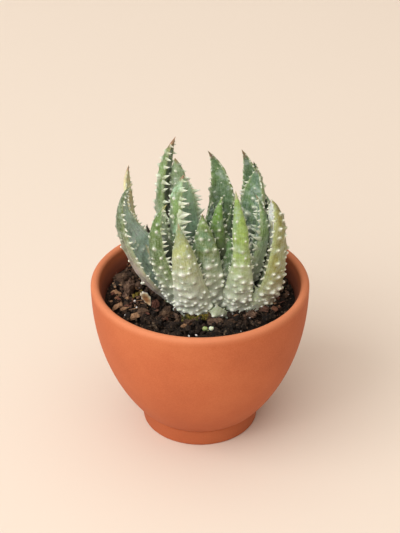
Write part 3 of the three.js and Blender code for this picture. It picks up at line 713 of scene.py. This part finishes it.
def raise_skin(skin, side, knobs):
    """How far the skin stands up at each point, and how creamy it is there."""
    raised = np.zeros(len(skin))
    cream = np.zeros(len(skin))
    for foot, radius, ridge_way, facing, pale in knobs:
        if facing != side:
            continue
        apart = skin - foot
        near = np.abs(apart).max(axis=1) < 4 * radius
        apart = apart[near]
        along_ridge = apart @ ridge_way
        square = np.sum(apart * apart, axis=1)
        off_ridge = square - along_ridge**2
        mound = MOUND * radius * np.exp(-square / (1.5 * radius) ** 2)
        fading = off_ridge / (0.8 * radius) ** 2 + along_ridge**2 / (1.9 * radius) ** 2
        ridge = RIDGE * radius * np.exp(-fading)
        raised[near] = np.maximum(raised[near], mound + ridge)
        halo = np.exp(-square / (1.15 * radius) ** 2) + 0.45 * ridge / (RIDGE * radius)
        cream[near] = np.maximum(cream[near], 0.68 * pale * halo)
    return raised, cream


def spikes_mesh(kind, foot, way, side_way, length, radius, start):
    """One kind of spike, KNOB or TOOTH, on each foot, bent towards side_way."""
    profile, sides, oval = kind["profile"], kind["sides"], kind["oval"]
    third = unit(np.cross(way, side_way))
    side_way = np.cross(third, way)
    turns = around(sides)
    rings = []
    for share, up in profile:
        bend = kind["bend"] * max(up, 0) ** 2
        centre = foot + way * (up * length)[:, None] + side_way * (bend * length)[:, None]
        wide = (share * radius * oval[0])[:, None, None] * np.cos(turns)[:, None] * side_way[:, None]
        deep = (share * radius * oval[1])[:, None, None] * np.sin(turns)[:, None] * third[:, None]
        rings.append(centre[:, None] + wide + deep)
    points = np.stack(rings, axis=1)
    per = len(profile) * sides
    faces = []
    for k in range(len(foot)):
        faces += tube_faces(len(profile), sides, start + k * per)
    heights = np.repeat(np.clip([up for _, up in profile], 0, 1), sides)
    return points.reshape(-1, 3), faces, np.tile(heights, len(foot)), per


def tooth_length(leaf, t):
    """Length of the teeth at t: longest at mid leaf, short at the tip."""
    return leaf["tooth"] * (0.45 + 0.55 * smooth(t, 0.02, 0.45)) * (1 - 0.62 * smooth(t, 0.6, 1))


def margin_teeth(length, apart):
    """Places of the teeth, unevenly spaced up both margins."""
    count = max(4, round(length / apart))
    shifts = [start + rng.uniform(-0.42, 0.42, count) for start in (0.3, 0.7)]
    t = [0.05 + 0.92 * (np.arange(count) + shift) / count for shift in shifts]
    return np.concatenate(t), np.repeat([-1.0, 1.0], count)


def tubercle_places(leaf, length, side):
    """Places of the tubercles: runs in rows across the leaf, thinned out from root to tip."""
    bumps = np.array(leaf["bumps"]) * (INNER_FACE_BUMPS if side > 0 else 1)
    t, place = [], []
    reach = 1.5
    while reach < 0.95 * length:
        at = reach / length
        rise = float(smooth(at, 0.12, 0.5))
        reach += between(ROW_SPACING, rise) * rng.uniform(0.88, 1.12)
        width = float(half_width(leaf["widths"], np.array([at]))[0])
        across = 2.05 * width * 0.86
        count = max(1, round(across / between(TUBERCLE_STEP, rise)))
        share = between(bumps, float(smooth(at, 0.15, 0.6)))
        kept = int(share * count + rng.random())
        first = rng.integers(0, count - kept + 1) if kept < count else 0
        shift = rng.uniform(0.2, 0.8)
        for k in range(first, first + min(kept, count)):
            p = 0.88 * ((k + shift) / count * 2 - 1) + rng.uniform(-0.09, 0.09)
            if abs(p) < 0.93 and rng.random() > TUBERCLE_MISSING:
                t.append(min(0.95, at + rng.uniform(-1.15, 1.15) / length))
                place.append(p)
    return np.array(t), np.array(place)


def make_leaf(name, leaf):
    line = curve_at(leaf["line"], np.linspace(0, 1, 60))[0]
    length = float(np.sum(np.linalg.norm(np.diff(line, axis=0), axis=1)))
    knobs, spikes = [], []
    for side in (-1, 1):
        t, place = tubercle_places(leaf, length, side)
        if not len(t):
            continue
        skin, out, along, across, _, width = skin_at(leaf, t, place, side)
        way = unit(out + 0.2 * along)
        size = between(TUBERCLE_RADIUS, smooth(t, 0.1, 0.75))
        size = size * rng.uniform(0.5, 1.15, len(t)) * (0.5 + 0.5 * smooth(width, 1, 4.5))
        size = size * (INNER_FACE_SIZE * leaf["stud"] if side > 0 else leaf["knob"])
        pale = 0.3 + 0.6 * rng.random(len(t)) ** 0.7
        knobs += [(*one, side, tone) for *one, tone in zip(skin, size, across, pale)]
        foot = skin + 0.3 * size[:, None] * way
        spikes.append((KNOB, foot, way, along, 1.1 * size, 0.72 * size, xyz(place, t, side > 0), pale))

    points, faces, blade, tooth = blade_mesh(leaf, length, knobs)
    # Near a root in painted shade, the cream round the tubercles on the skin is dimmed by that painted
    # shade too
    tooth = tooth * np.interp(blade[:, 1], leaf["lit"], (leaf["dim"], 1))
    layers = [(points, blade, tooth)]
    total = len(points)

    t, margin = margin_teeth(length, leaf["apart"])
    skin, _, along, across, inward, _ = skin_at(leaf, t, margin, -1)
    turn_in = math.radians(leaf["curl"] + leaf["fold"])
    way = across * (math.cos(turn_in) * margin)[:, None] + inward * math.sin(turn_in) + 0.1 * along
    way = unit(way + rng.normal(0, TOOTH_WANDER, way.shape))
    long = tooth_length(leaf, t) * (0.55 + 0.6 * rng.random(len(t)) ** 0.7)
    pale = rng.uniform(0.6, 1, len(t))
    teeth = (TOOTH, skin - 0.2 * way, way, along, long, 0.36 + 0.14 * long, xyz(margin, t, 0.25), pale)

    for kind, foot, way, along, long, radius, marks, pale in (teeth, *spikes):
        points, more, heights, per = spikes_mesh(kind, foot, way, along, long, radius, total)
        creamy = np.repeat(pale, per) * between(kind["cream"], heights)
        layers.append((points, np.repeat(marks, per, axis=0), creamy))
        faces += more
        total += len(points)

    points, blade, tooth = (np.concatenate(parts) for parts in zip(*layers))
    slots = {entry["node"]: entry["material_slot"] for entry in frame["record"]["subparts"]}
    add_piece(name + "_fine", points, faces, leaf_material(name + "_skin", leaf), slots[name], name,
              tooth=tooth, blade=blade)


# Crown, soil and what lies on it


def make_crown():
    """The folded crown between the leaf bases, with its stalk in the soil."""
    turns = around(CROWN_SIDES)
    points = []
    for share, z in CROWN_PROFILE:
        fold = 1 - 0.05 * np.abs(np.sin(6.5 * turns + 0.05 * z)) * (z > 60)
        x = CROWN_CENTRE[0] + share * CROWN_HALF_LENGTH * fold * np.cos(turns)
        y = CROWN_CENTRE[1] + share * CROWN_HALF_DEPTH * fold * np.sin(turns)
        points.append(xyz(x, y, z))
    faces = tube_faces(len(CROWN_PROFILE), len(turns))
    add_piece("crown_fine", np.concatenate(points), faces, crown_material(), "stem", "stem")


def soil_height(x, y):
    """The soil's level with its broad waves, as on the solid."""
    edge = smooth(np.hypot(x, y), 36, 44)
    wave = np.sin(0.31 * x + 1.3) * np.cos(0.27 * y + 0.4) + 0.5 * np.sin(0.7 * x - 0.55 * y)
    return SOIL_TOP + SOIL_LUMP * wave - SOIL_EDGE_DROP * edge


def crumbly(x, y):
    """Small lumps of the soil bed, which lies lower so that the loose bits fill it up."""
    lumps = np.sin(1.3 * x + 0.8 * y) * np.sin(1.1 * y - 0.6 * x + 2) * 0.45
    lumps += 0.35 * np.sin(2.3 * x - 1.7 * y + 1) * np.sin(2.9 * y + 0.9 * x)
    lumps += 0.2 * np.sin(4.9 * x + 2.1 * y) * np.sin(5.3 * y - 3.1 * x)
    return lumps - SOIL_BED_DROP


def make_soil():
    turns = around(SOIL_SIDES)
    sunk = [(24, FLOOR_TOP + 0.5), (inner_radius(24) - 0.5, 24), (inner_radius(45) - 0.5, 45)]
    rings = []
    for radius, z in sunk + [(radius, None) for radius in np.linspace(SOIL_RADIUS, 1.2, 62)]:
        x, y = radius * np.cos(turns), radius * np.sin(turns)
        rings.append(xyz(x, y, z or soil_height(x, y) + crumbly(x, y)))
    faces = tube_faces(len(rings), len(turns))
    add_piece("soil_bed", np.concatenate(rings), faces, soil_material(), "soil", "soil")


def rough_ball(level):
    """Points and faces of a small ball, the start of each chip and crumb."""
    shape = bpy.data.meshes.new("ball")
    made = bmesh.new()
    bmesh.ops.create_icosphere(made, subdivisions=level, radius=1)
    made.to_mesh(shape)
    made.free()
    points = np.array([v.co[:] for v in shape.vertices])
    faces = np.array([p.vertices[:] for p in shape.polygons])
    bpy.data.meshes.remove(shape)
    return points, faces


def add_balls(name, points, faces, tones, *finish, **options):
    """Many balls as one piece, from the points of each and the faces of the first."""
    count, size = points.shape[:2]
    faces = faces + size * np.arange(count)[:, None, None]
    add_piece(name, points.reshape(-1, 3), faces.reshape(-1, 3).tolist(), *finish,
              tone=np.repeat(tones, size), **options)


def scatter(name, xy, lift, sizes, turns, tones, material, boxy=0, rough=0.18, level=2):
    """Irregular bits at places xy, their middles lift above the soil; sizes are half sizes."""
    places = np.column_stack([xy, soil_height(*xy.T) + lift])
    ball, faces = rough_ball(level)
    if boxy:
        squared = ball / np.max(np.abs(ball), axis=1)[:, None]
        ball = ball * (1 - boxy) + squared * boxy
    shapes = ball * (1 + rng.normal(0, rough, (len(places), len(ball), 1)))
    shapes = shapes * sizes[:, None, :]
    points = np.einsum("nij,nkj->nki", turns, shapes) + places[:, None, :]
    add_balls(name, points, faces, tones, material, "soil", shade_smooth=False)


def ground_places(count, reach, clear):
    """Random places on the soil, outside the crown's oval by clear."""
    places = []
    while len(places) < count:
        radius = reach * math.sqrt(rng.random())
        angle = rng.uniform(0, 2 * math.pi)
        x, y = radius * math.cos(angle), radius * math.sin(angle)
        across = (x - CROWN_CENTRE[0]) / (CROWN_HALF_LENGTH + clear)
        deep = (y - CROWN_CENTRE[1]) / (CROWN_HALF_DEPTH + clear)
        if math.hypot(across, deep) > 1:
            places.append((x, y))
    return np.array(places)


# Loose bits laid at random: count of them within reach of the middle and clear of the crown.
# size is half a bit's length, and across and up are shares of it. A third value is the power
# that favours small or dark bits.
BITS = dict(
    peat_clods=dict(
        count=620, reach=41.6, clear=0, size=(0.75, 2.25, 1.6), across=(0.6, 1), up=(0.5, 0.85),
        lift=(-1.5, 0.35), tilt=70, tone=(0, 0.7, 1.3), boxy=0.25, rough=0.2),
    peat_crumbs=dict(
        count=900, reach=42.6, clear=0, size=(0.28, 0.75), across=(0.6, 1), up=(0.5, 0.9),
        lift=(-0.9, 1), tilt=80, tone=(0, 1, 1.5), boxy=0, rough=0.22),
    bark_chips=dict(
        count=170, reach=40.5, clear=2.5, size=(1, 2.7), across=(0.4, 0.8), up=(0.2, 0.42),
        lift=(-0.3, 1), tilt=48, tone=(0.2, 1, 1.15), boxy=0.5, rough=0.14),
)

# Lumps that stand out: place on the soil, half sizes, turn in degrees and tone from SOIL_TONES
LUMPS = [
    ((-36.6, 11), (3.3, 2.6, 2), 30, 0.6),
    ((-38.4, 6.5), (2.3, 0.7, 0.6), -20, 0.96),
    ((-32.6, 0.2), (2.9, 2.1, 3), 65, 0.73),
    ((-33.3, -7.8), (1.4, 0.8, 1.2), 80, 0.95),
    ((-39.8, -2), (0.9, 0.7, 0.6), 0, 0.86),
    ((-33, -13.7), (1.2, 0.9, 0.8), 40, 0.85),
    ((-20.2, -11.5), (1.6, 1.5, 2.5), 10, 0.84),
    ((-25.6, -18.4), (2.6, 1.9, 1.7), -15, 0.66),
    ((-15.7, -20.8), (2.6, 1.8, 1.4), 20, 0.6),
    ((-7, -27.6), (1.7, 0.8, 0.8), 35, 0.95),
    ((-4.4, -25.6), (1.2, 1, 0.9), 0, 0.9),
    ((6.7, -25), (3.4, 1.8, 1.2), 8, 0.74),
    ((16.2, -21), (1.3, 1, 0.9), 60, 0.91),
    ((23, -21), (2.2, 1.6, 1.3), -30, 0.72),
    ((28.6, -15.5), (2.5, 1.6, 1.2), -35, 0.8),
    ((32.9, -11), (1.9, 0.8, 0.5), 20, 0.97),
    ((34, 8), (2.4, 1.8, 1.6), 50, 0.55),
    ((-20, 24), (2.8, 2, 1.6), 10, 0.72),
    ((6, 33), (2.9, 1.9, 1.5), -25, 0.62),
    ((26, 27), (2.2, 1.4, 1.2), 70, 0.93),
]
SPLINTER_COUNT = 150
PERLITE_COUNT = 26
PERLITE_PLACE = (-29.6, -9.2)
MOSS_COUNT = 260
TUFT_PLACE = (-28.2, -4.5)
TUFT_GRAINS = 22
TUFT_RISE = 1.4
TUFT_TONE = 0.6


def spread(count, low, high, power=1):
    """Random values from low to high; a power above 1 favours low ones."""
    return low + (high - low) * rng.random(count) ** power


def lay(name, xy, lift, sizes, tilt, tones, material, **shape):
    """Bits at any heading and up to tilt degrees out of level, darker in front as painted shade."""
    # Painted shade darkens the bits near the front rim; those to the left are lighter
    tones = tones * (1 - 0.55 * smooth(-xy[:, 1], 19, 33)) + 0.16 * smooth(-xy[:, 0], 16, 32)
    tones = np.minimum(tones, 0.94)
    headings = rng.uniform(0, 360, len(xy))
    angles = zip(headings, *rng.uniform(-tilt, tilt, (2, len(xy))))
    turns = np.array([turned(0, 0, a) @ turned(b, 0, 0) @ turned(0, c, 0) for a, b, c in angles])
    scatter(name, xy, lift, sizes, turns, tones, material, **shape)


def make_soil_bits():
    bark = chip_material("bark", SOIL_TONES, 620)
    for name, bits in BITS.items():
        xy = ground_places(bits["count"], bits["reach"], bits["clear"])
        drawn = [spread(len(xy), *bits[key]) for key in ("size", "across", "up", "lift", "tone")]
        size, across, up, lift, tones = drawn
        lay(name, xy, lift, xyz(size, size * across, size * up), bits["tilt"], tones, bark,
            boxy=bits["boxy"], rough=bits["rough"])
    # Thin splinters
    xy = ground_places(SPLINTER_COUNT, 40, 1)
    sizes = xyz(spread(SPLINTER_COUNT, 0.9, 2.6), 0.17, 0.12)
    lift = spread(SPLINTER_COUNT, 0.2, 1.1)
    tones = spread(SPLINTER_COUNT, 0.5, 1)
    lay("splinters", xy, lift, sizes, 30, tones, bark, boxy=0.3, rough=0.12)
    # The lumps that stand out
    xy, sizes, headings, tones = (np.array(column, float) for column in zip(*LUMPS))
    turns = np.array([turned(0, 0, heading) for heading in headings])
    scatter("bark_lumps", xy, 0.6 * sizes[:, 2], sizes, turns, tones, bark,
            boxy=0.35, rough=0.14, level=3)
    # White grains of perlite, the last of them large
    xy = np.vstack([ground_places(PERLITE_COUNT - 1, 41, 1), [PERLITE_PLACE]])
    size = np.append(spread(PERLITE_COUNT - 1, 0.2, 0.5), 0.6)
    lift = spread(PERLITE_COUNT, 0.3, 0.9)
    tones = np.ones(PERLITE_COUNT)
    lay("perlite_grains", xy, lift, xyz(size, size, 0.8 * size), 90, tones, perlite_material())
    # Moss at the foot of the front leaves, and a tuft of it beside the flake
    moss = chip_material("moss", MOSS_TONES, 900)
    along = rng.random(MOSS_COUNT)
    y = -21.5 - 1.2 * np.sin(3 * along) + rng.normal(0, 1.1, MOSS_COUNT)
    xy = np.column_stack([-8 + 15 * along, y])
    xy[:TUFT_GRAINS] = TUFT_PLACE + rng.normal(0, 0.9, (TUFT_GRAINS, 2))
    size = spread(MOSS_COUNT, 0.25, 0.6)
    lift = spread(MOSS_COUNT, -0.2, 0.9)
    lift[:TUFT_GRAINS] += TUFT_RISE
    tones = np.clip(0.3 + 0.5 * along + rng.normal(0, 0.25, MOSS_COUNT), 0, 1)
    tones[:TUFT_GRAINS] = TUFT_TONE
    lay("moss_cushion", xy, lift, xyz(size, size, size), 90, tones, moss, rough=0.25)


def make_flake():
    """A boat-shaped scrap of dry leaf, leaning on end in the soil."""
    length, width, thick = FLAKE_SIZE
    rows, columns = 22, 13
    u = np.linspace(-1, 1, rows)[:, None]
    v = np.linspace(-1, 1, columns)[None]
    ragged = 1 + 0.12 * np.sin(9 * u + 1) * np.sin(5 * v)
    half = width / 2 * np.sqrt(np.clip(1.02 - u**2, 0.02, 1)) * ragged
    x = length / 2 * (u + 0.07 * np.sin(7 * v) * u**4)
    dish = FLAKE_BEND * (0.9 * v**2 - 0.8 * u**2) + 0.12 * np.sin(11 * u + 3 * v)
    top = xyz(x, half * v, dish + thick / 4)
    low = xyz(x, half * v, dish - thick / 4)
    turn = turned(0, 0, FLAKE_TURN) @ turned(0, -FLAKE_LEAN, 0) @ turned(FLAKE_ROLL, 0, 0)
    points = np.stack([top, low]).reshape(-1, 3) @ turn.T
    points += (*FLAKE_PLACE, float(soil_height(*FLAKE_PLACE)) + 0.3 * length + FLAKE_LIFT)
    grid = np.arange(rows * columns).reshape(rows, columns)
    quads = np.stack([grid[:-1, :-1], grid[1:, :-1], grid[1:, 1:], grid[:-1, 1:]], axis=-1).reshape(-1, 4)
    edge = np.concatenate([grid[0], grid[1:, -1], grid[-1, -2::-1], grid[-2:0:-1, 0]])
    after = np.roll(edge, -1)
    band = np.stack([edge, after, after + grid.size, edge + grid.size], axis=1)
    faces = np.concatenate([quads, quads[:, [0, 3, 2, 1]] + grid.size, band])
    middle = (1 - np.abs(u) ** 3) * (1 - np.abs(v) ** 3)
    s = Shader("straw", Roughness=0.75, Subsurface_Weight=0.1, Subsurface_Scale=0.001)
    grain = s.noise(s.scaled(s.place(), (900, 900, 260)), 1, 4, 0.6)
    body = s.over(s.ramp(s.attribute("tone"), STRAW_TONES), STRAW_GRAIN, grain, 0.45, 0.75, 0.35)
    material = s.finish(body, (grain, 0.5, 0.0004))
    add_piece("straw_flake", points, faces.tolist(), material, "straw", "dry_flake",
              tone=np.tile(middle.ravel(), 2))


def make_sprout():
    """A seedling: an olive seed leaf and a pale one on a thin stalk."""
    foot = (*SPROUT_PLACE, float(soil_height(*SPROUT_PLACE)))
    ball, faces = rough_ball(3)
    ball = ball * (1 - 0.18 * np.exp(-((ball[:, :1] - 0.3) ** 2 + (ball[:, 2:] - 1) ** 2) / 0.1))
    middles, sizes, tones = (np.array(column) for column in zip(*SPROUT_LOBES))
    points = ball * sizes[:, None] + middles[:, None] + foot
    s = Shader("seedling_skin", Roughness=0.4, Subsurface_Weight=0.2, Subsurface_Scale=0.001)
    material = s.finish(s.ramp(s.attribute("tone"), SPROUT_TONES))
    add_balls("seedling", points, faces, tones, material, "sprout", "sprout")


def make_stage():
    corners = [(x * FLOOR_SIZE, y * FLOOR_SIZE, 0) for x, y in ((-1, -1), (1, -1), (1, 1), (-1, 1))]
    mesh = bpy.data.meshes.new("floor")
    mesh.from_pydata(corners, [], [(0, 1, 2, 3)])
    s = Shader("paper_floor", Roughness=0.9, Specular_IOR_Level=0.1)
    mesh.materials.append(s.finish(s.mix(s.noise(s.place(), 3, 2, 0.5), *FLOOR_COLOURS)))
    floor = add_object("floor", mesh)


def aim(made, location, target):
    made.location = location
    made.rotation_euler = (Vector(target) - Vector(location)).to_track_quat("-Z", "Y").to_euler()


def make_lights():
    world = bpy.data.worlds.new("studio")
    world.use_nodes = True
    back = world.node_tree.nodes["Background"]
    back.inputs["Color"].default_value = (*WORLD_COLOUR, 1)
    back.inputs["Strength"].default_value = WORLD_STRENGTH
    bpy.context.scene.world = world
    for name, (location, size, power, colour) in LIGHTS.items():
        light = bpy.data.lights.new(name, "AREA")
        light.shape = "DISK"
        light.size = size
        light.energy = power
        light.color = colour
        aim(add_object(name, light), location, LIT)
    bpy.context.scene.view_settings.view_transform = "Standard"


def make_camera():
    camera = add_object("camera", bpy.data.cameras.new("camera"))
    tilt = math.radians(CAMERA_TILT)
    away = Vector((0, -math.cos(tilt), math.sin(tilt))) * CAMERA_DISTANCE
    aim(camera, Vector(LOOK_AT) + away, LOOK_AT)
    camera.data.sensor_fit = "VERTICAL"
    camera.data.sensor_height = SENSOR
    camera.data.lens = LENS
    bpy.context.scene.camera = camera


make_camera()
make_lights()
make_stage()
make_bowl()
make_crown()
make_soil()
make_soil_bits()
make_flake()
make_sprout()
for leaf_name, leaf_shape in LEAVES.items():
    make_leaf(leaf_name, USUAL | leaf_shape)
